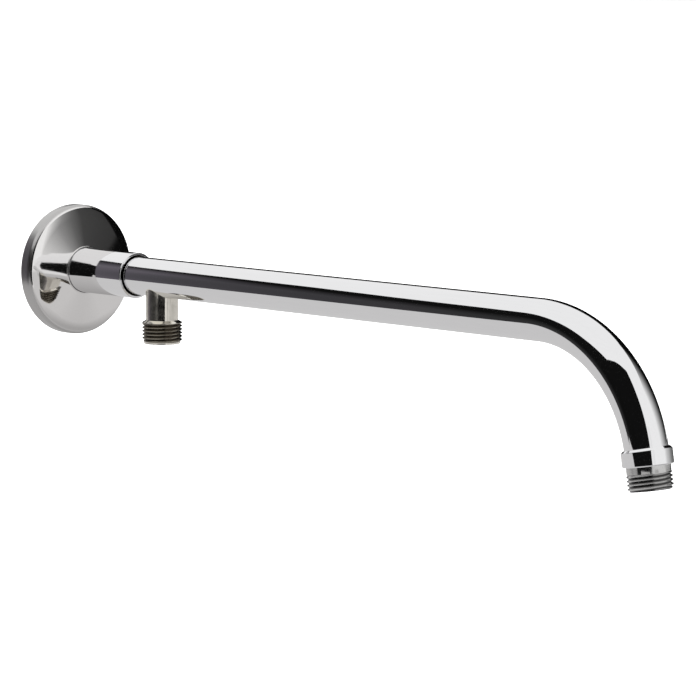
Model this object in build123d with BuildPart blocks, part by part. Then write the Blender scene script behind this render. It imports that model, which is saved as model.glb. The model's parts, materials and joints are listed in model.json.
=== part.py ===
# Shower arm: a bent tube brazed into a threaded inlet, with a hose spigot, an outlet nipple
# and a slip-on wall flange. Millimetres. The origin is on the arm's axis in the wall plane,
# +X runs out of the wall and +Z is up.

import os
from math import atan, cos, pi, radians, sin, tan

from build123d import *

# Arm tube
tube_diameter = 20.0
tube_wall = 1.2
tube_start_x = 24.0
bend_start_x = 345.0
bend_radius = 66.0
bend_angle = 80.5
tube_tail = 2.0

# Half-inch pipe thread: its major diameter, and the chamfer at a free end
thread_diameter = 20.955
thread_chamfer = 1.1

# Gap that the brazing filler takes, on the radius
braze_gap = 0.12

# Inlet body
inlet_thread_length = 15.0
inlet_bore_diameter = 14.0
inlet_shoulder_x = 2.0
inlet_undercut_length = 1.6
inlet_undercut_depth = 1.3
sleeve_wall = 2.0
sleeve_end_x = 55.3
sleeve_back_chamfer = 0.5
mouth_wall = 1.25
mouth_depth = 2.5

# Hose spigot
spigot_x = 75.5
spigot_stem_diameter = 16.8
spigot_bore_diameter = 10.0
spigot_pilot_wall = 1.0
spigot_pilot_reach = 1.6
spigot_stem_length = 12.9
spigot_thread_length = 10.1
spigot_lead_length = 1.0
spigot_lead_step = 0.9
spigot_shoulder_height = 1.2

# Outlet nipple, measured along its own axis from the end of the bend
collar_wall = 1.6
collar_overlap = 3.3
collar_end = 4.4
collar_flat = 0.35
collar_end_chamfer = 0.4
neck_depth = 0.45
neck_length = 3.2
outlet_thread_length = 7.8
outlet_bore_diameter = 14.0

# Wall flange
flange_diameter = 69.5
flange_wall = 1.5
flange_edge_x = 8.2
flange_hub_x = 11.6
flange_shoulder_radius = 2.9
flange_crown_radius = 20.0
flange_shoulder_angle = 73.0
flange_shoulder_flat = 0.05
flange_clearance = 0.15
flange_lip_width = 0.6
flange_lip_height = 0.5
hub_wall = 3.8
hub_back_x = 3.0

# Rubber ring in the hub
ring_width = 2.2
ring_thickness = 2.0
ring_chamfer = 0.35
ring_x = 6.5
ring_clearance = 0.03
groove_clearance = 0.05
groove_side_clearance = 0.2

# Radii and places that follow from the sizes above
tube_radius = tube_diameter / 2
tube_bore_radius = tube_radius - tube_wall
socket_radius = tube_radius + braze_gap
thread_radius = thread_diameter / 2
sleeve_radius = tube_radius + sleeve_wall
mouth_radius = sleeve_radius - mouth_wall
mouth_chamfer = 0.6 * mouth_wall
collar_radius = tube_radius + collar_wall
turn = radians(bend_angle)
outlet_origin = Vector(
    bend_start_x + bend_radius * sin(turn), 0, bend_radius * (cos(turn) - 1)
)
outlet_direction = Vector(cos(turn), 0, -sin(turn))

os.makedirs("parts", exist_ok=True)

# Arm tube: straight run, bend and a short straight tail, with the spigot's hole underneath
pilot_radius = spigot_bore_diameter / 2 + spigot_pilot_wall
pilot_hole_radius = pilot_radius + braze_gap

with BuildPart() as arm_tube:
    with BuildLine(Plane.XZ) as tube_path:
        straight_run = Line((tube_start_x, 0), (bend_start_x, 0))
        bend = JernArc(straight_run @ 1, straight_run % 1, bend_radius, -bend_angle)
        PolarLine(bend @ 1, tube_tail, direction=bend % 1)
    with BuildSketch(Plane.YZ.offset(tube_start_x)):
        Circle(tube_radius)
        Circle(tube_bore_radius, mode=Mode.SUBTRACT)
    sweep(path=tube_path.wires()[0])
    with BuildSketch(Plane.XY):
        with Locations((spigot_x, 0)):
            Circle(pilot_hole_radius)
    extrude(amount=-tube_diameter, mode=Mode.SUBTRACT)

arm_tube.part.label = "arm_tube"
export_step(arm_tube.part, "parts/arm_tube.step")

# Inlet body: wall thread, undercut, plain sleeve, tube socket and recessed mouth
inlet_bore_radius = inlet_bore_diameter / 2
undercut_x = inlet_shoulder_x - inlet_undercut_length
undercut_radius = thread_radius - inlet_undercut_depth

with BuildPart() as inlet_body:
    with BuildSketch(Plane.XZ):
        with BuildLine():
            Polyline(
                (-inlet_thread_length, inlet_bore_radius),
                (-inlet_thread_length, thread_radius - thread_chamfer),
                (thread_chamfer - inlet_thread_length, thread_radius),
                (undercut_x, thread_radius),
                (undercut_x, undercut_radius),
                (inlet_shoulder_x, undercut_radius),
                (inlet_shoulder_x, sleeve_radius - sleeve_back_chamfer),
                (inlet_shoulder_x + sleeve_back_chamfer, sleeve_radius),
                (sleeve_end_x - mouth_chamfer, sleeve_radius),
                (sleeve_end_x, sleeve_radius - mouth_chamfer),
                (sleeve_end_x, mouth_radius),
                (sleeve_end_x - mouth_depth, mouth_radius),
                (sleeve_end_x - mouth_depth, socket_radius),
                (tube_start_x, socket_radius),
                (tube_start_x, inlet_bore_radius),
                close=True,
            )
        make_face()
    revolve(axis=Axis.X)

inlet_body.part.label = "inlet_body"
export_step(inlet_body.part, "parts/inlet_body.step")

# Hose spigot: stem coped to the tube, shoulder, thread, plain lead, and a pilot in the tube's hole
spigot_axis = Axis((spigot_x, 0, 0), (0, 0, 1))
spigot_plane = Plane((spigot_x, 0, 0), x_dir=(1, 0, 0), z_dir=(0, -1, 0))
stem_radius = spigot_stem_diameter / 2
spigot_pilot_top_z = spigot_pilot_reach - tube_bore_radius
spigot_thread_top_z = -tube_radius - spigot_stem_length
spigot_bore_radius = spigot_bore_diameter / 2
spigot_thread_end_z = spigot_thread_top_z - spigot_thread_length
spigot_end_z = spigot_thread_end_z - spigot_lead_length
lead_radius = thread_radius - spigot_lead_step

with BuildPart() as hose_spigot:
    with BuildSketch(spigot_plane):
        with BuildLine():
            Polyline(
                (0, 0),
                (stem_radius, 0),
                (stem_radius, spigot_thread_top_z + spigot_shoulder_height),
                (thread_radius, spigot_thread_top_z),
                (thread_radius, spigot_thread_end_z),
                (lead_radius, spigot_thread_end_z - spigot_lead_length / 2),
                (lead_radius, spigot_end_z),
                (0, spigot_end_z),
                close=True,
            )
        make_face()
    revolve(axis=spigot_axis)
    with BuildSketch(Plane.YZ.offset(spigot_x)):
        Circle(socket_radius)
    extrude(amount=tube_diameter, both=True, mode=Mode.SUBTRACT)
    with BuildSketch(Plane.XY.offset(spigot_pilot_top_z)):
        with Locations((spigot_x, 0)):
            Circle(pilot_radius)
    extrude(amount=spigot_thread_top_z - spigot_pilot_top_z)
    with BuildSketch(Plane.XY):
        with Locations((spigot_x, 0)):
            Circle(spigot_bore_radius)
    extrude(amount=spigot_end_z, mode=Mode.SUBTRACT)

hose_spigot.part.label = "hose_spigot"
export_step(hose_spigot.part, "parts/hose_spigot.step")

# Outlet nipple: socket collar over the tube's end, neck and thread along the outlet's own axis
outlet_plane = Plane(outlet_origin, x_dir=outlet_direction, z_dir=(0, -1, 0))
outlet_axis = Axis(outlet_origin, outlet_direction)
outlet_bore_radius = outlet_bore_diameter / 2
bend_sag = collar_overlap**2 / (2 * bend_radius)
collar_socket_radius = socket_radius + bend_sag
collar_chamfer = collar_radius - collar_socket_radius - collar_flat
neck_radius = thread_radius - neck_depth
neck_end = collar_end + neck_length
outlet_end = neck_end + outlet_thread_length

with BuildPart() as outlet_nipple:
    with BuildSketch(outlet_plane):
        with BuildLine():
            Polyline(
                (-collar_overlap, collar_socket_radius),
                (-collar_overlap, collar_radius - collar_chamfer),
                (collar_chamfer - collar_overlap, collar_radius),
                (collar_end - collar_end_chamfer, collar_radius),
                (collar_end, collar_radius - collar_end_chamfer),
                (collar_end, neck_radius),
                (neck_end, neck_radius),
                (neck_end + neck_depth, thread_radius),
                (outlet_end - thread_chamfer, thread_radius),
                (outlet_end, thread_radius - thread_chamfer),
                (outlet_end, outlet_bore_radius),
                (tube_tail, outlet_bore_radius),
                (tube_tail, collar_socket_radius),
                close=True,
            )
        make_face()
    revolve(axis=outlet_axis)

outlet_nipple.part.label = "outlet_nipple"
export_step(outlet_nipple.part, "parts/outlet_nipple.step")

# Wall flange: coned shell, shoulder rounded in two radii, hollow back, lip and hub with a ring groove
flange_radius = flange_diameter / 2
flange_bore_radius = sleeve_radius + flange_clearance
lip_radius = flange_bore_radius + flange_lip_width
lip_end_x = flange_hub_x + flange_lip_height
lip_chamfer = flange_lip_height / 2
hub_radius = flange_bore_radius + hub_wall
hollow_radius = flange_radius - flange_wall
inner_shoulder_chamfer = flange_shoulder_radius / 2
face_slope = (flange_hub_x - flange_edge_x) / (flange_radius - lip_radius)
shoulder_turn = radians(flange_shoulder_angle)
crown_turn = pi / 2 - atan(face_slope) - shoulder_turn
shoulder_reach = flange_shoulder_radius * tan(shoulder_turn / 2)
crown_reach = flange_crown_radius * tan(crown_turn / 2)
shoulder_run = shoulder_reach + crown_reach + flange_shoulder_flat
crown_radius = flange_radius - shoulder_run * sin(shoulder_turn)
crown_x = flange_hub_x - face_slope * (crown_radius - lip_radius)
shoulder_x = crown_x - shoulder_run * cos(shoulder_turn)
hollow_hub_x = flange_hub_x - flange_wall - face_slope * (hub_radius - lip_radius)
hollow_edge_x = flange_hub_x - flange_wall - face_slope * (hollow_radius - lip_radius)
ring_radius = sleeve_radius + ring_clearance + ring_thickness / 2
groove_radius = ring_radius + ring_thickness / 2 + groove_clearance
groove_width = ring_width + 2 * groove_side_clearance

with BuildPart() as wall_flange:
    with BuildSketch(Plane.XZ) as shell_profile:
        with BuildLine():
            Polyline(
                (0, flange_bore_radius),
                (0, flange_radius),
                (shoulder_x, flange_radius),
                (crown_x, crown_radius),
                (flange_hub_x, lip_radius),
                (lip_end_x - lip_chamfer, lip_radius),
                (lip_end_x, lip_radius - lip_chamfer),
                (lip_end_x, flange_bore_radius),
                close=True,
            )
        make_face()
        crown = shell_profile.vertices().group_by(Axis.Y)[-2].sort_by(Axis.X)[-1]
        fillet(crown, flange_crown_radius)
        shoulder = shell_profile.vertices().group_by(Axis.Y)[-1].sort_by(Axis.X)[-1]
        fillet(shoulder, flange_shoulder_radius)
    revolve(axis=Axis.X)
    with BuildSketch(Plane.XZ) as hollow_profile:
        with BuildLine():
            Polyline(
                (0, flange_bore_radius),
                (0, hollow_radius),
                (hollow_edge_x, hollow_radius),
                (hollow_hub_x, hub_radius),
                (hub_back_x, hub_radius),
                (hub_back_x, flange_bore_radius),
                close=True,
            )
        make_face()
        inner_shoulder = hollow_profile.vertices().group_by(Axis.Y)[-1].sort_by(Axis.X)[-1]
        chamfer(inner_shoulder, inner_shoulder_chamfer)
    revolve(axis=Axis.X, mode=Mode.SUBTRACT)
    with BuildSketch(Plane.XZ):
        with Locations((ring_x, groove_radius)):
            Rectangle(
                groove_width,
                groove_radius - sleeve_radius,
                align=(Align.CENTER, Align.MAX),
            )
    revolve(axis=Axis.X, mode=Mode.SUBTRACT)

wall_flange.part.label = "wall_flange"
export_step(wall_flange.part, "parts/wall_flange.step")

# Rubber ring between the flange's hub and the sleeve
with BuildPart() as grip_ring:
    with BuildSketch(Plane.XZ) as ring_profile:
        with Locations((ring_x, ring_radius)):
            Rectangle(ring_width, ring_thickness)
        chamfer(ring_profile.vertices(), ring_chamfer)
    revolve(axis=Axis.X)

grip_ring.part.label = "grip_ring"
export_step(grip_ring.part, "parts/grip_ring.step")
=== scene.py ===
import json
import math

import bmesh
import bpy
import numpy as np
from mathutils import Matrix, Vector


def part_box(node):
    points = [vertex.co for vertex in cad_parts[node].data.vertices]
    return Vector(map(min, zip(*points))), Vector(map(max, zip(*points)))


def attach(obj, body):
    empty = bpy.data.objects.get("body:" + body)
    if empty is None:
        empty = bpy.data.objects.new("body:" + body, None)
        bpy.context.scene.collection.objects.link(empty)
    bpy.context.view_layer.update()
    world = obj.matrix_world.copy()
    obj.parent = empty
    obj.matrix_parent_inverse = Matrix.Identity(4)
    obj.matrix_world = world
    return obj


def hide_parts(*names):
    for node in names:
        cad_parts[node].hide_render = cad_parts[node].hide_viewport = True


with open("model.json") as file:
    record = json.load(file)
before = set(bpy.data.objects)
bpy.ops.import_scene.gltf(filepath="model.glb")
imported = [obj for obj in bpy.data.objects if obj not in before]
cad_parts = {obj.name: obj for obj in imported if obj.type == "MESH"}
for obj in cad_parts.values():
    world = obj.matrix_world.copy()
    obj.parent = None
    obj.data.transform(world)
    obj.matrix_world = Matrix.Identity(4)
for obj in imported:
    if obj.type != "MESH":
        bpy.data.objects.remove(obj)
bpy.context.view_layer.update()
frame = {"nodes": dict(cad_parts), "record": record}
scene = bpy.context.scene
print("frame loaded:", ", ".join(sorted(frame["nodes"])))

mm = 0.001
fullTurn = 2 * math.pi


def linear(hexColour):
    # An sRGB hex colour as the linear colour that nodes take
    def channel(text):
        value = int(text, 16) / 255
        return value / 12.92 if value <= 0.04045 else ((value + 0.055) / 1.055) ** 2.4
    return tuple(channel(hexColour[i:i + 2]) for i in (1, 3, 5)) + (1.0,)


# Measures from the frame

def findMount(name):
    return next(mount for mount in frame["record"]["mounts"] if mount["name"] == name)


outletCentre = Vector(findMount("outlet_thread")["pos_m"])
outletAxis = Vector(findMount("outlet_thread")["axis"])
spigotCentre = Vector(findMount("hose_thread")["pos_m"])
tubeBox, inletBox, flangeBox = (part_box(node) for node in ("arm_tube", "inlet_body", "wall_flange"))
tubeRadius, sleeveRadius, flangeRadius = (box[1].y for box in (tubeBox, inletBox, flangeBox))
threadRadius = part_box("hose_spigot")[1].y


# Materials

def newMaterial(name):
    material = bpy.data.materials.new(name)
    material.use_nodes = True
    tree = material.node_tree
    tree.nodes.clear()
    return material, tree


def addNode(tree, kind, settings=None, links=None):
    # settings are node properties by name or socket values, links are sockets fed by another node's output
    node = tree.nodes.new(kind)
    for key, value in (settings or {}).items():
        if isinstance(key, str) and hasattr(node, key):
            setattr(node, key, value)
        else:
            node.inputs[key].default_value = value
    for key, source in (links or {}).items():
        tree.links.new(source, node.inputs[key])
    return node


def chromeMaterial(name, look):
    # Plated metal with an uneven polish: a mirror with a faint haze, blurred across the tool marks.
    # The marks are drawn coarser than real ones, which are too fine to show
    material, tree = newMaterial(name)
    place = addNode(tree, "ShaderNodeTexCoord").outputs["Object"]
    stretched = addNode(tree, "ShaderNodeMapping", {"Scale": look["stretch"]}, {"Vector": place})
    haze = addNode(
        tree, "ShaderNodeTexNoise", {"Scale": 1 / look["hazeSize"], "Detail": 3.0}, {"Vector": place},
    )
    marks = addNode(
        tree, "ShaderNodeTexNoise", {"Scale": 1 / look["markSize"], "Detail": 2.0},
        {"Vector": stretched.outputs["Vector"]},
    )
    low, high = look["roughness"]
    roughness = addNode(
        tree, "ShaderNodeMapRange", {"From Min": 0.3, "From Max": 0.7, "To Min": low, "To Max": high},
        {"Value": haze.outputs["Fac"]},
    )
    tint = addNode(
        tree, "ShaderNodeMix",
        {"data_type": "RGBA", 6: linear(look["colour"]), 7: linear(look["hazeColour"])},
        {0: marks.outputs["Fac"]},
    )
    relief = addNode(
        tree, "ShaderNodeBump", {"Strength": look["markStrength"], "Distance": look["markDepth"]},
        {"Height": marks.outputs["Fac"]},
    )
    # The band comes in between two distances from the axis that the piece was turned on, duller and greyer
    # there; in a thread's roots that grey is painted shade
    centre, axis = look["axis"]
    fromCentre = addNode(tree, "ShaderNodeVectorMath", {"operation": "SUBTRACT", 1: centre}, {0: place})
    aside = addNode(
        tree, "ShaderNodeVectorMath", {"operation": "CROSS_PRODUCT", 1: axis},
        {0: fromCentre.outputs["Vector"]},
    )
    reach = addNode(tree, "ShaderNodeVectorMath", {"operation": "LENGTH"}, {0: aside.outputs["Vector"]})
    band = addNode(
        tree, "ShaderNodeMapRange", {"From Min": look["band"][0], "From Max": look["band"][1]},
        {"Value": reach.outputs["Value"]},
    )
    greyed = addNode(
        tree, "ShaderNodeMix", {"data_type": "RGBA", 7: linear(look["bandColour"])},
        {0: band.outputs["Result"], 6: tint.outputs[2]},
    )
    dulled = addNode(
        tree, "ShaderNodeMath", {"operation": "MULTIPLY_ADD", 1: look["bandRoughness"]},
        {0: band.outputs["Result"], 2: roughness.outputs["Result"]},
    )
    grooves = addNode(tree, "ShaderNodeTangent", {"direction_type": "RADIAL", "axis": look["lathe"]})
    shader = addNode(
        tree, "ShaderNodeBsdfPrincipled",
        {"Metallic": 1.0, "Anisotropic": look["grain"], "Anisotropic Rotation": 0.25},
        {
            "Base Color": greyed.outputs[2],
            "Roughness": dulled.outputs["Value"],
            "Normal": relief.outputs["Normal"],
            "Tangent": grooves.outputs["Tangent"],
        },
    )
    addNode(tree, "ShaderNodeOutputMaterial", None, {"Surface": shader.outputs["BSDF"]})
    return material


# Dull bands: the flange's rim; the roots of a thread, where the band's grey is painted shade; and one out of
# reach for plate that has none
armAxis = ((0, 0, 0), (1, 0, 0))
rimBand = (flangeRadius - 1.45 * mm, flangeRadius - 0.85 * mm)
paintedRootShade = (threadRadius - 0.55 * mm, threadRadius - 1.05 * mm)
noBand = {"axis": armAxis, "band": (1.0, 2.0), "bandRoughness": 0.0, "bandColour": "#ffffff"}

# Chrome plate over buffed brass: a neutral, nearly perfect mirror
polishedChrome = chromeMaterial("polished chrome plate", {
    "colour": "#f0f0f1", "hazeColour": "#ebebec", "roughness": (0.015, 0.05), "grain": 0.0, "lathe": "X",
    "hazeSize": 30 * mm, "markSize": 1.2 * mm, "stretch": (0.08, 1.0, 1.0),
    "markStrength": 0.02, "markDepth": 0.02 * mm, **noBand,
})

# Chrome plate over a face that was turned and then lightly buffed: fine rings blur it, most at the rim
turnedChrome = chromeMaterial("buffed chrome plate on a turned face", {
    "colour": "#efeeed", "hazeColour": "#e9e7e6", "roughness": (0.03, 0.06), "grain": 0.3, "lathe": "X",
    "hazeSize": 20 * mm, "markSize": 0.8 * mm, "stretch": (1.0, 1.0, 1.0),
    "markStrength": 0.03, "markDepth": 0.02 * mm,
    "axis": armAxis, "band": rimBand, "bandRoughness": 0.25, "bandColour": "#bfbebd",
})

# Thin nickel plate straight over lathe marks: warmer, and drawn out up and down into satin streaks
turnedNickel = chromeMaterial("thin nickel plate on turned brass", {
    "colour": "#f2eee6", "hazeColour": "#dedacf", "roughness": (0.12, 0.18), "grain": 0.7, "lathe": "Z",
    "hazeSize": 4 * mm, "markSize": 0.5 * mm, "stretch": (0.1, 0.1, 1.0),
    "markStrength": 0.08, "markDepth": 0.03 * mm, **noBand,
})

# The same plate where the die cut the thread: thin and brownish, rougher in the roots, which are darkened
# with painted shade
threadNickel = chromeMaterial("thin nickel plate on a cut thread", {
    "colour": "#aaa498", "hazeColour": "#7e786e", "roughness": (0.16, 0.26), "grain": 0.5, "lathe": "Z",
    "hazeSize": 3 * mm, "markSize": 0.4 * mm, "stretch": (0.15, 0.15, 1.0),
    "markStrength": 0.1, "markDepth": 0.03 * mm,
    "axis": (spigotCentre, (0, 0, 1)), "band": paintedRootShade, "bandRoughness": 0.1, "bandColour": "#6e685f",
})

# Chrome plate over a cut thread and its neck, not buffed: greyer and softly blurred, rougher in the roots,
# which are darkened with painted shade
threadChrome = chromeMaterial("chrome plate on a cut thread", {
    "colour": "#d2d2d1", "hazeColour": "#bab9b8", "roughness": (0.12, 0.2), "grain": 0.0, "lathe": "X",
    "hazeSize": 3 * mm, "markSize": 0.4 * mm, "stretch": (1.0, 1.0, 1.0),
    "markStrength": 0.06, "markDepth": 0.03 * mm,
    "axis": (outletCentre, outletAxis), "band": paintedRootShade, "bandRoughness": 0.1, "bandColour": "#6c6c6c",
})

# Bare brass painted dark as the shade in a recess, with next to no mirror
recessShadeBrass = chromeMaterial("bare brass painted dark as recess shade", {
    "colour": "#413a31", "hazeColour": "#28231d", "roughness": (0.35, 0.5), "grain": 0.0, "lathe": "X",
    "hazeSize": 3 * mm, "markSize": 0.6 * mm, "stretch": (1.0, 1.0, 1.0),
    "markStrength": 0.1, "markDepth": 0.05 * mm, **noBand,
})


def rubberMaterial(name, look):
    material, tree = newMaterial(name)
    place = addNode(tree, "ShaderNodeTexCoord").outputs["Object"]
    grain = addNode(
        tree, "ShaderNodeTexNoise", {"Scale": 1 / look["grain"], "Detail": 4.0}, {"Vector": place},
    )
    tint = addNode(
        tree, "ShaderNodeMix", {"data_type": "RGBA", 6: linear(look["colour"]), 7: linear(look["dust"])},
        {0: grain.outputs["Fac"]},
    )
    shader = addNode(
        tree, "ShaderNodeBsdfPrincipled", {"Roughness": look["roughness"]}, {"Base Color": tint.outputs[2]},
    )
    addNode(tree, "ShaderNodeOutputMaterial", None, {"Surface": shader.outputs["BSDF"]})
    return material


# Moulded nitrile: near black and dull, with a fine dusty grain
ringRubber = rubberMaterial("moulded nitrile rubber", {
    "colour": "#141414", "dust": "#2a2a2b", "grain": 0.4 * mm, "roughness": 0.6,
})
print("materials made")


# Shapes: every piece is rows of (along, radius) laid round a route and closed into one skin

bend = {"start": 345.0 * mm, "radius": 66.0 * mm, "turn": math.atan2(-outletAxis.z, outletAxis.x)}
bend["end"] = bend["start"] + bend["radius"] * bend["turn"]


def armRoute(along):
    # Along the arm's own axis: out from the wall, round the bend and on through the outlet
    turned = np.clip((along - bend["start"]) / bend["radius"], 0, bend["turn"])
    before = np.minimum(along, bend["start"])
    beyond = np.maximum(along - bend["end"], 0)
    flat = np.zeros_like(along)
    x = before + bend["radius"] * np.sin(turned) + beyond * math.cos(bend["turn"])
    z = -bend["radius"] * (1 - np.cos(turned)) - beyond * math.sin(bend["turn"])
    centre = np.stack([x, flat, z], axis=-1)
    across = np.stack([flat, flat + 1, flat], axis=-1)
    up = np.stack([np.sin(turned), flat, np.cos(turned)], axis=-1)
    return centre, across, up


def spigotRoute(along):
    # Straight down from the arm's axis through the hose spigot
    flat = np.zeros_like(along)
    centre = np.stack([flat + spigotCentre.x, flat, -along], axis=-1)
    across = np.stack([flat + 1, flat, flat], axis=-1)
    up = np.stack([flat, flat - 1, flat], axis=-1)
    return centre, across, up


finish = {"weld": 0.001 * mm, "sliver": 0.0005 * mm, "sharpFrom": math.radians(40)}


def skin(name, rows, route, columns):
    angle = np.linspace(0, fullTurn, columns + 1)[:, None]
    along, radius = (np.array([np.broadcast_to(row[k], columns + 1) for row in rows]) for k in (0, 1))
    centre, across, up = route(along)
    points = centre + radius[..., None] * (across * np.cos(angle) + up * np.sin(angle))
    index = np.arange(along.size).reshape(along.shape)
    following = np.roll(index, -1, axis=0)
    corners = [index[:, :-1], following[:, :-1], following[:, 1:], index[:, 1:]]
    faces = np.stack(corners, axis=-1).reshape(-1, 4)
    mesh = bpy.data.meshes.new(name)
    mesh.from_pydata(points.reshape(-1, 3).tolist(), [], faces.tolist())
    shape = bmesh.new()
    shape.from_mesh(mesh)
    bmesh.ops.remove_doubles(shape, verts=shape.verts, dist=finish["weld"])
    bmesh.ops.dissolve_degenerate(shape, edges=shape.edges, dist=finish["sliver"])
    bmesh.ops.recalc_face_normals(shape, faces=shape.faces)
    shape.to_mesh(mesh)
    shape.free()
    mesh.shade_smooth()
    mesh.set_sharp_from_angle(angle=finish["sharpFrom"])
    piece = bpy.data.objects.new(name, mesh)
    scene.collection.objects.link(piece)
    return piece


def dress(piece, node, body, material):
    piece.data.materials.append(material)
    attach(piece, body)
    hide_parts(node)
    print(f"{piece.name}: {len(piece.data.polygons)} faces")


def rounded(corners, steps=7, besideArc=0.15):
    # corners are (along, radius, rounding). A rounded corner becomes an arc,
    # and a row beside each end of it keeps the flats flat: a share of the rounding away,
    # or a third of the flat where that is shorter
    places = [Vector(corner[:2]) for corner in corners]
    arms = []
    for i, here in enumerate(places):
        before = places[i - 1] - here
        after = places[(i + 1) % len(places)] - here
        half = before.angle(after) / 2
        arms.append((before, after, half, corners[i][2] / math.tan(half) if corners[i][2] else 0))
    outline = []
    for i, here in enumerate(places):
        before, after, half, reach = arms[i]
        rounding = corners[i][2]
        if not rounding:
            outline.append(here)
            continue
        roomBefore = before.length - reach - arms[i - 1][3]
        roomAfter = after.length - reach - arms[(i + 1) % len(places)][3]
        before, after = before.normalized(), after.normalized()
        centre = here + (before + after).normalized() * rounding / math.sin(half)
        first = here + before * reach - centre
        last = here + after * reach - centre
        sweep = math.atan2(first.x * last.y - first.y * last.x, first.dot(last))
        outline.append(here + before * (reach + min(besideArc * rounding, roomBefore / 3)))
        outline += [centre + Matrix.Rotation(sweep * k / steps, 2) @ first for k in range(steps + 1)]
        outline.append(here + after * (reach + min(besideArc * rounding, roomAfter / 3)))
    return [(point.x, point.y) for point in outline]


# Half-inch pipe thread with 14 turns to the inch, cut as a true right-handed helix
thread = {"pitch": 25.4 / 14 * mm, "depth": 1.1 * mm, "rows": 16, "sharpness": 0.96}


def threadRows(columns, start, end):
    # start and end are (along, radius, fade): the helix fades into that radius at each end
    share = np.linspace(0, 1, columns + 1)
    turns = (end[0] - start[0]) / thread["pitch"] + 1
    crest = math.asin(thread["sharpness"])
    rows = []
    for k in range(math.ceil(turns * thread["rows"]) + 1):
        phase = k / thread["rows"]
        along = np.clip(start[0] + (phase + share - 1) * thread["pitch"], start[0], end[0])
        wave = 0.5 - 0.5 * math.asin(thread["sharpness"] * math.cos(fullTurn * phase)) / crest
        radius = threadRadius - thread["depth"] * wave
        for edge in (start, end):
            fade = np.clip(np.abs(along - edge[0]) / edge[2], 0, 1)
            radius = edge[1] + (radius - edge[1]) * fade
        rows.append((along, radius))
    return rows


# Arm tube
tube = {
    "start": tubeBox[0].x, "wall": 1.2 * mm, "tail": 2.0 * mm, "holeRadius": 6.1 * mm,
    "columns": 144, "bendRows": 110, "beforeBend": 5.0 * mm,
}
bendRows = np.linspace(bend["start"], bend["end"], tube["bendRows"]).tolist()
tubeAlong = [tube["start"], bend["start"] - tube["beforeBend"], *bendRows, bend["end"] + tube["tail"]]
tubeRows = [(along, tubeRadius) for along in tubeAlong]
tubeRows += [(along, tubeRadius - tube["wall"]) for along in reversed(tubeAlong)]
armTube = skin("armTube", tubeRows, armRoute, tube["columns"])


def cutHole(piece, centre, radius, depth):
    # An upright round hole from centre down by depth
    middle = centre - Vector((0, 0, depth / 2))
    bpy.ops.mesh.primitive_cylinder_add(vertices=64, radius=radius, depth=depth, location=middle)
    cutter = bpy.context.object
    cut = piece.modifiers.new("hole", "BOOLEAN")
    cut.object = cutter
    cut.solver = "EXACT"
    bpy.context.view_layer.objects.active = piece
    bpy.ops.object.modifier_apply(modifier=cut.name)
    bpy.data.objects.remove(cutter)


cutHole(armTube, Vector((spigotCentre.x, 0, 0)), tube["holeRadius"], 2 * tubeRadius)
dress(armTube, "arm_tube", "arm", polishedChrome)

# Inlet body, with the recess at its mouth painted dark brass as shade
inlet = {
    "back": inletBox[0].x, "end": inletBox[1].x, "bore": 7.0 * mm, "chamfer": 1.1 * mm, "shoulder": 2.0 * mm,
    "undercut": 1.6 * mm, "undercutDepth": 1.3 * mm, "mouthWall": 1.25 * mm, "mouthDepth": 2.5 * mm,
    "backEdge": 0.5 * mm, "edge": 0.5 * mm, "innerEdge": 0.2 * mm, "fit": 0.05 * mm, "runOut": 0.6 * mm,
    "columns": 144,
}
undercutStart = inlet["shoulder"] - inlet["undercut"]
undercutRadius = threadRadius - inlet["undercutDepth"]
mouthRadius = sleeveRadius - inlet["mouthWall"]
mouthBack = inlet["end"] - inlet["mouthDepth"]
inletOutline = rounded([
    (undercutStart, undercutRadius, 0),
    (inlet["shoulder"], undercutRadius, 0),
    (inlet["shoulder"], sleeveRadius, inlet["backEdge"]),
    (inlet["end"], sleeveRadius, inlet["edge"]),
    (inlet["end"], mouthRadius, inlet["innerEdge"]),
    (mouthBack, mouthRadius, 0),
    (mouthBack, tubeRadius + inlet["fit"], 0),
    (tube["start"], tubeRadius + inlet["fit"], 0),
    (tube["start"], inlet["bore"], 0),
    (inlet["back"], inlet["bore"], 0),
])
inletThread = threadRows(
    inlet["columns"],
    (inlet["back"], threadRadius - inlet["chamfer"], inlet["chamfer"]),
    (undercutStart, undercutRadius, inlet["runOut"]),
)
inletBody = skin("inletBody", inletOutline + inletThread, armRoute, inlet["columns"])
dress(inletBody, "inlet_body", "arm", polishedChrome)
inletBody.data.materials.append(recessShadeBrass)
slack = 0.02 * mm
# Faces in the mouth's recess get the dark brass, which is painted shade
for face in inletBody.data.polygons:
    reach = math.hypot(face.center.y, face.center.z)
    if face.center.x > mouthBack - slack and reach < mouthRadius + slack:
        face.material_index = 1

# Hose spigot: its top is coped to the tube, with a small fillet of brazing metal
spigot = {
    "stem": 8.4 * mm, "bore": 5.0 * mm, "pilot": 6.0 * mm, "pilotTop": 7.2 * mm, "stemTop": 13.7 * mm,
    "shoulder": 21.7 * mm, "threadTop": 22.9 * mm, "threadStart": 23.2 * mm, "threadEnd": 33.0 * mm,
    "end": 34.0 * mm, "lead": 0.9 * mm, "fillet": 0.2 * mm, "edge": 0.15 * mm, "endEdge": 0.25 * mm,
    "boreEdge": 0.3 * mm, "runIn": 0.4 * mm, "runOut": 0.9 * mm,
    "columns": 144, "saddleRows": 6, "filletRows": 7,
}
spigotAngle = np.linspace(0, fullTurn, spigot["columns"] + 1)


def saddle(radius):
    return np.sqrt(tubeRadius ** 2 - (radius * np.sin(spigotAngle)) ** 2)


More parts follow.
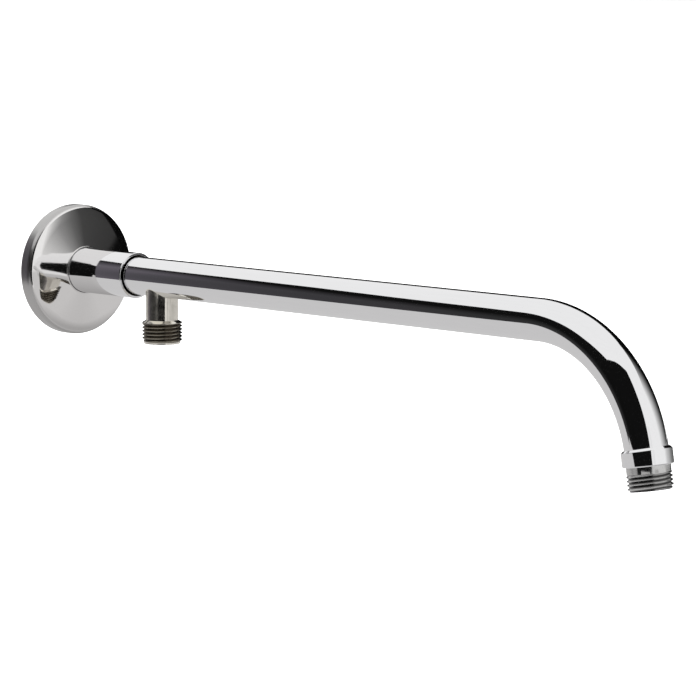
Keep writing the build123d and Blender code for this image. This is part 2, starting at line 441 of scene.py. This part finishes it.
leadRadius = threadRadius - spigot["lead"]
filletReach = spigot["stem"] + spigot["fillet"]
spigotRows = [(spigot["pilotTop"], spigot["bore"]), (spigot["pilotTop"], spigot["pilot"])]
saddleReach = np.linspace(spigot["pilot"], filletReach, spigot["saddleRows"])
spigotRows += [(saddle(radius), radius) for radius in saddleReach]
for quarter in np.linspace(0, math.pi / 2, spigot["filletRows"])[1:]:
    radius = spigot["stem"] + spigot["fillet"] * (1 - math.sin(quarter))
    spigotRows.append((saddle(radius) + spigot["fillet"] * (1 - math.cos(quarter)), radius))
spigotRows += rounded([
    (spigot["stemTop"], spigot["stem"], 0),
    (spigot["shoulder"], spigot["stem"], spigot["edge"]),
    (spigot["threadTop"], threadRadius, spigot["edge"]),
    (spigot["threadStart"], threadRadius, 0),
])
spigotRows += threadRows(
    spigot["columns"],
    (spigot["threadStart"], threadRadius, spigot["runIn"]),
    (spigot["threadEnd"], leadRadius, spigot["runOut"]),
)
spigotRows += rounded([
    (spigot["threadEnd"], leadRadius, 0),
    (spigot["end"], leadRadius, spigot["endEdge"]),
    (spigot["end"], spigot["bore"], spigot["boreEdge"]),
    (spigot["pilotTop"], spigot["bore"], 0),
])
hoseSpigot = skin("hoseSpigot", spigotRows, spigotRoute, spigot["columns"])
dress(hoseSpigot, "hose_spigot", "arm", turnedNickel)
hoseSpigot.data.materials.append(threadNickel)
for face in hoseSpigot.data.polygons:
    outside = math.hypot(face.center.x - spigotCentre.x, face.center.y) > spigot["pilot"]
    if outside and spigot["threadTop"] + spigot["edge"] < -face.center.z < spigot["threadEnd"]:
        face.material_index = 1

# Outlet nipple, measured from the end of the bend
outlet = {
    "collarTop": -3.3 * mm, "collarEnd": 4.4 * mm, "collar": 11.6 * mm, "chamfer": 1.0 * mm,
    "lowChamfer": 0.4 * mm, "neckDepth": 0.45 * mm, "neckEnd": 7.6 * mm, "end": 15.4 * mm,
    "endChamfer": 1.1 * mm, "bore": 7.0 * mm, "fit": 0.18 * mm, "topEdge": 0.05 * mm, "edge": 0.2 * mm,
    "lowEdge": 0.1 * mm, "neckEdge": 0.15 * mm, "boreEdge": 0.3 * mm, "runIn": 0.6 * mm, "columns": 144,
}
neckRadius = threadRadius - outlet["neckDepth"]
outletOutline = rounded([
    (bend["end"] + along, radius, rounding) for along, radius, rounding in (
        (outlet["end"], outlet["bore"], outlet["boreEdge"]),
        (tube["tail"], outlet["bore"], 0),
        (tube["tail"], tubeRadius + outlet["fit"], 0),
        (outlet["collarTop"], tubeRadius + outlet["fit"], 0),
        (outlet["collarTop"], outlet["collar"] - outlet["chamfer"], outlet["topEdge"]),
        (outlet["collarTop"] + outlet["chamfer"], outlet["collar"], outlet["edge"]),
        (outlet["collarEnd"] - outlet["lowChamfer"], outlet["collar"], outlet["edge"]),
        (outlet["collarEnd"], outlet["collar"] - outlet["lowChamfer"], outlet["lowEdge"]),
        (outlet["collarEnd"], neckRadius, outlet["neckEdge"]),
        (outlet["neckEnd"], neckRadius, 0),
    )
])
outletThread = threadRows(
    outlet["columns"],
    (bend["end"] + outlet["neckEnd"], neckRadius, outlet["runIn"]),
    (bend["end"] + outlet["end"], threadRadius - outlet["endChamfer"], outlet["endChamfer"]),
)
outletNipple = skin("outletNipple", outletOutline + outletThread, armRoute, outlet["columns"])
dress(outletNipple, "outlet_nipple", "arm", polishedChrome)
outletNipple.data.materials.append(threadChrome)
bendEnd = Vector(armRoute(np.array([bend["end"]]))[0][0])
for face in outletNipple.data.polygons:
    fromEnd = face.center - bendEnd
    along = fromEnd.dot(outletAxis)
    outside = (fromEnd - along * outletAxis).length > outlet["bore"] + 2 * outlet["boreEdge"]
    if outside and along > outlet["collarEnd"] + 2 * outlet["neckEdge"]:
        face.material_index = 1

# Wall flange: a coned face, a shoulder rounded in two radii and a thin lip against the sleeve
flange = {
    "edge": 8.2 * mm, "hub": 11.6 * mm, "shoulder": 2.9 * mm, "crown": 40.0 * mm,
    "shoulderTurn": math.radians(75), "flat": 0.05 * mm, "wall": 1.5 * mm, "clearance": 0.15 * mm,
    "lip": 0.6 * mm, "lipHeight": 0.5 * mm, "lipRound": 0.22 * mm, "hubWall": 3.8 * mm, "hubBack": 3.0 * mm,
    "grooveStart": 5.2 * mm, "grooveEnd": 7.8 * mm, "grooveDepth": 1.93 * mm,
    "backRound": 0.8 * mm, "hubRound": 0.5 * mm, "smallRound": 0.2 * mm, "columns": 240,
}
flangeBore = sleeveRadius + flange["clearance"]
lipRadius = flangeBore + flange["lip"]
lipEnd = flange["hub"] + flange["lipHeight"]
hubRadius = flangeBore + flange["hubWall"]
faceSlope = (flange["hub"] - flange["edge"]) / (flangeRadius - lipRadius)
crownTurn = math.pi / 2 - math.atan(faceSlope) - flange["shoulderTurn"]
shoulderReach = flange["shoulder"] * math.tan(flange["shoulderTurn"] / 2)
shoulderRun = shoulderReach + flange["crown"] * math.tan(crownTurn / 2) + flange["flat"]
crownRadius = flangeRadius - shoulderRun * math.sin(flange["shoulderTurn"])
crownX = flange["hub"] - faceSlope * (crownRadius - lipRadius)
shoulderX = crownX - shoulderRun * math.cos(flange["shoulderTurn"])
hollowRadius = flangeRadius - flange["wall"]
hollowTop = flange["hub"] - flange["wall"]
grooveRadius = flangeBore + flange["grooveDepth"]
flangeOutline = rounded([
    (lipEnd, flangeBore, flange["lipRound"]),
    (lipEnd, lipRadius, flange["lipRound"]),
    (flange["hub"], lipRadius, 0),
    (crownX, crownRadius, flange["crown"]),
    (shoulderX, flangeRadius, flange["shoulder"]),
    (0, flangeRadius, flange["backRound"]),
    (0, hollowRadius, flange["smallRound"]),
    (hollowTop - faceSlope * (hollowRadius - lipRadius), hollowRadius, flange["shoulder"]),
    (hollowTop - faceSlope * (hubRadius - lipRadius), hubRadius, flange["hubRound"]),
    (flange["hubBack"], hubRadius, flange["smallRound"]),
    (flange["hubBack"], flangeBore, flange["smallRound"]),
    (flange["grooveStart"], flangeBore, 0),
    (flange["grooveStart"], grooveRadius, 0),
    (flange["grooveEnd"], grooveRadius, 0),
    (flange["grooveEnd"], flangeBore, 0),
], steps=12)
wallFlange = skin("wallFlange", flangeOutline, armRoute, flange["columns"])
dress(wallFlange, "wall_flange", "flange", turnedChrome)

# The rubber ring stays as the solid made it, since the hub hides it
frame["nodes"]["grip_ring"].data.materials.clear()
frame["nodes"]["grip_ring"].data.materials.append(ringRubber)
print("pieces made")


# Stage: a white floor for the camera, and round the arm the cards that the chrome mirrors, in metres

# The room: white above, light grey below, and darker on the floor out beyond the bend
room = {
    "above": "#ffffff", "below": "#d6d5d5", "beyond": "#afaeae", "strength": 0.945, "edge": (-0.09, -0.05),
    "way": (0.71, 0.71, 0.0), "wayShare": (-0.2, 0.9), "depth": (-0.3, -0.46),
}


def addPanel(name, points, faces):
    mesh = bpy.data.meshes.new(name)
    mesh.from_pydata(points, [], faces)
    panel = bpy.data.objects.new(name, mesh)
    scene.collection.objects.link(panel)
    return panel


def addScreen(name, columns, look):
    # A bent panel through columns of (low point, high point) that only mirrors see
    faces = [(2 * k, 2 * k + 2, 2 * k + 3, 2 * k + 1) for k in range(len(columns) - 1)]
    panel = addPanel(name, [point for column in columns for point in column], faces)
    # Its cloth changes shade along x, and fades to its top shade with height, later where x is lower
    material, tree = newMaterial(f"{name} cloth")
    place = addNode(tree, "ShaderNodeTexCoord").outputs["Object"]
    parts = addNode(tree, "ShaderNodeSeparateXYZ", None, {"Vector": place})
    first, last = look["shades"][0][0], look["shades"][-1][0]
    sideways = addNode(
        tree, "ShaderNodeMapRange", {"From Min": first, "From Max": last}, {"Value": parts.outputs["X"]},
    )
    shade = addNode(tree, "ShaderNodeValToRGB", None, {"Fac": sideways.outputs["Result"]})
    ramp = shade.color_ramp.elements
    for k, (x, colour) in enumerate(look["shades"]):
        spot = (x - first) / (last - first)
        stop = ramp[k] if k < 2 else ramp.new(spot)
        stop.position = spot
        stop.color = linear(colour)
    leaning = addNode(
        tree, "ShaderNodeMath", {"operation": "MULTIPLY_ADD", 1: look["lean"]},
        {0: parts.outputs["X"], 2: parts.outputs["Z"]},
    )
    upward = addNode(
        tree, "ShaderNodeMapRange", {"From Min": look["fade"][0], "From Max": look["fade"][1]},
        {"Value": leaning.outputs["Value"]},
    )
    faded = addNode(
        tree, "ShaderNodeMix", {"data_type": "RGBA", 7: linear(look["top"])},
        {0: upward.outputs["Result"], 6: shade.outputs["Color"]},
    )
    glow = addNode(tree, "ShaderNodeEmission", {"Strength": room["strength"]}, {"Color": faded.outputs[2]})
    addNode(tree, "ShaderNodeOutputMaterial", None, {"Surface": glow.outputs["Emission"]})
    panel.data.materials.append(material)
    for hidden in ("visible_camera", "visible_diffuse", "visible_transmission", "visible_shadow"):
        setattr(panel, hidden, False)


# For a screen with the same shades from foot to top: the fade starts above it
noFade = {"lean": 0.0, "fade": (1.0, 2.0), "top": "#ffffff"}

# Dark screen half a metre off on the camera's side, charcoal at the wall and then black.
# It runs straight as (x, low, high), then curves in towards the bend
frontY = -0.5
frontRun = [
    (-1.9, -0.225, 1.45), (-1.13, -0.225, 0.86), (-0.98, -0.225, 0.77), (-0.64, -0.225, 0.61),
    (-0.42, -0.206, 0.46), (-0.29, -0.198, 0.4), (-0.2, -0.186, 0.345), (-0.08, -0.16, 0.31),
    (0.0, -0.135, 0.3), (0.18, -0.108, 0.3), (0.24, -0.11, 0.315), (0.27, -0.2, 0.325), (0.39, -0.22, 0.357),
]
frontCurve = [
    ((0.521, -0.488, -0.23), (0.521, -0.488, 0.541)), ((0.635, -0.424, -0.25), (0.635, -0.424, 0.68)),
    ((0.79, -0.336, -0.25), (0.79, -0.336, 0.833)), ((0.88, -0.285, -0.25), (0.89, -0.28, 0.912)),
    ((0.92, -0.263, 0.5), (0.95, -0.246, 0.97)), ((0.99, -0.222, 0.99), (0.996, -0.22, 1.01)),
]
frontColumns = [((x, frontY, low), (x, frontY, high)) for x, low, high in frontRun] + frontCurve
addScreen("dark front screen", frontColumns, {
    "shades": [
        (-0.8, "#6c686f"), (-0.7, "#6a666d"), (-0.6, "#605c63"), (-0.56, "#57545a"), (-0.53, "#514f54"),
        (-0.48, "#4a484c"), (-0.35, "#403f42"), (-0.24, "#3d3c3e"), (-0.17, "#343435"), (-0.1, "#303030"),
        (0.05, "#2a2a2a"), (0.14, "#0a0a0a"),
    ],
    "lean": 0.72, "fade": (-0.14, 0.03), "top": "#111111",
})

# White card beside the screen's near end
sideColumns = [((0.89, -0.28, -0.3), (0.9, -0.275, 0.2)), ((0.95, -0.15, -0.3), (0.95, -0.15, 0.2))]
addScreen("white side card", sideColumns, {"shades": [(0.89, "#ffffff"), (0.95, "#f4f4f4")], **noFade})

# Dark panel behind the arm, as (x, y, high), curving forward and brightening to white beyond the bend
backLow = -0.05
backPlan = [
    (-1.1, 0.57, 0.43), (-0.45, 0.57, 0.41), (-0.3, 0.57, 0.43), (-0.23, 0.57, 0.48), (-0.15, 0.57, 0.54),
    (0.0, 0.58, 0.54), (0.12, 0.59, 0.51), (0.26, 0.6, 0.52), (0.36, 0.6, 0.55), (0.4, 0.57, 0.55),
    (0.415, 0.5, 0.48), (0.43, 0.42, 0.4), (0.448, 0.344, 0.33), (0.48, 0.3, 0.29), (0.523, 0.257, 0.26),
    (0.575, 0.225, 0.25), (0.628, 0.198, 0.25), (0.66, 0.18, 0.25),
]
addScreen("dark back panel", [((x, y, backLow), (x, y, high)) for x, y, high in backPlan], {
    "shades": [
        (0.395, "#0a0a0a"), (0.402, "#0c0c0c"), (0.406, "#3a3a3a"), (0.448, "#484848"), (0.48, "#6c6c6c"),
        (0.523, "#959595"), (0.575, "#c2c2c2"), (0.628, "#e6e6e6"), (0.66, "#f8f8f8"),
    ],
    **noFade,
})

# Small curved card close behind the outlet, as (x, y, middle), for the far edge of its collar
cardDown, cardUp = 0.011, 0.0065
cardPlan = [
    (0.318, 0.077, -0.0695), (0.337, 0.095, -0.067), (0.374, 0.114, -0.0607), (0.436, 0.117, -0.0504),
    (0.47, 0.104, -0.0446), (0.499, 0.08, -0.0396),
]
cardColumns = [((x, y, middle - cardDown), (x, y, middle + cardUp)) for x, y, middle in cardPlan]
addScreen("small collar card", cardColumns, {
    "shades": [(0.318, "#303030"), (0.365, "#444444"), (0.441, "#878787"), (0.499, "#dadada")], **noFade,
})

# Floor of matt white paper that mirrors don't see, its grain drawn coarse enough to show
paper = {"reach": 400.0, "height": -250 * mm, "colour": "#fbfbfb", "fibre": "#f6f6f6", "grain": 3 * mm}
paperCorners = [
    (x * paper["reach"], y * paper["reach"], paper["height"]) for x, y in ((-1, -1), (1, -1), (1, 1), (-1, 1))
]
floor = addPanel("floor", paperCorners, [(0, 1, 2, 3)])
floorMaterial, floorTree = newMaterial("matt white paper")
paperPlace = addNode(floorTree, "ShaderNodeTexCoord").outputs["Object"]
paperGrain = addNode(floorTree, "ShaderNodeTexNoise", {"Scale": 1 / paper["grain"]}, {"Vector": paperPlace})
paperTint = addNode(
    floorTree, "ShaderNodeMix",
    {"data_type": "RGBA", 6: linear(paper["colour"]), 7: linear(paper["fibre"])},
    {0: paperGrain.outputs["Fac"]},
)
paperShader = addNode(floorTree, "ShaderNodeBsdfDiffuse", None, {"Color": paperTint.outputs[2]})
addNode(floorTree, "ShaderNodeOutputMaterial", None, {"Surface": paperShader.outputs["BSDF"]})
floor.data.materials.append(floorMaterial)
floor.visible_glossy = False

world = bpy.data.worlds.new("studio")
world.use_nodes = True
worldTree = world.node_tree
worldTree.nodes.clear()
skyPlace = addNode(worldTree, "ShaderNodeTexCoord").outputs["Generated"]
skyParts = addNode(worldTree, "ShaderNodeSeparateXYZ", None, {"Vector": skyPlace})
skyWay = addNode(
    worldTree, "ShaderNodeVectorMath", {"operation": "DOT_PRODUCT", 1: room["way"]}, {0: skyPlace},
)
beyondBend = addNode(
    worldTree, "ShaderNodeMapRange", {"From Min": room["wayShare"][0], "From Max": room["wayShare"][1]},
    {"Value": skyWay.outputs["Value"]},
)
underfoot = addNode(
    worldTree, "ShaderNodeMapRange", {"From Min": room["depth"][0], "From Max": room["depth"][1]},
    {"Value": skyParts.outputs["Z"], "To Max": beyondBend.outputs["Result"]},
)
skyFloor = addNode(
    worldTree, "ShaderNodeMix",
    {"data_type": "RGBA", 6: linear(room["below"]), 7: linear(room["beyond"])},
    {0: underfoot.outputs["Result"]},
)
skyBlend = addNode(
    worldTree, "ShaderNodeMapRange", {"From Min": room["edge"][0], "From Max": room["edge"][1]},
    {"Value": skyParts.outputs["Z"]},
)
skyTint = addNode(
    worldTree, "ShaderNodeMix", {"data_type": "RGBA", 7: linear(room["above"])},
    {0: skyBlend.outputs["Result"], 6: skyFloor.outputs[2]},
)
sky = addNode(
    worldTree, "ShaderNodeBackground", {"Strength": room["strength"]}, {"Color": skyTint.outputs[2]},
)
addNode(worldTree, "ShaderNodeOutputWorld", None, {"Surface": sky.outputs["Background"]})
scene.world = world

# Soft light from above, for the paper and the rubber
lampSettings = {"energy": 3.0, "spread": math.radians(70)}
lamp = bpy.data.lights.new("soft overhead light", "SUN")
lamp.energy = lampSettings["energy"]
lamp.angle = lampSettings["spread"]
overhead = bpy.data.objects.new("soft overhead light", lamp)
scene.collection.objects.link(overhead)
overhead.visible_glossy = False
scene.view_settings.view_transform = "Standard"
print("stage made")

# Camera, at the place found by fitting the part's outline to the photo
shot = {
    "place": (1.27407, -0.99292, 0.14512), "turn": 46.793, "down": 6.658, "roll": 0.205,
    "lens": 155.14, "sensor": 36.0,
}
cameraData = bpy.data.cameras.new("camera")
cameraData.lens = shot["lens"]
cameraData.sensor_width = shot["sensor"]
camera = bpy.data.objects.new("camera", cameraData)
camera.matrix_world = (
    Matrix.Translation(shot["place"])
    @ Matrix.Rotation(math.radians(shot["turn"]), 4, "Z")
    @ Matrix.Rotation(math.radians(90 - shot["down"]), 4, "X")
    @ Matrix.Rotation(math.radians(shot["roll"]), 4, "Z")
)
scene.collection.objects.link(camera)
scene.camera = camera
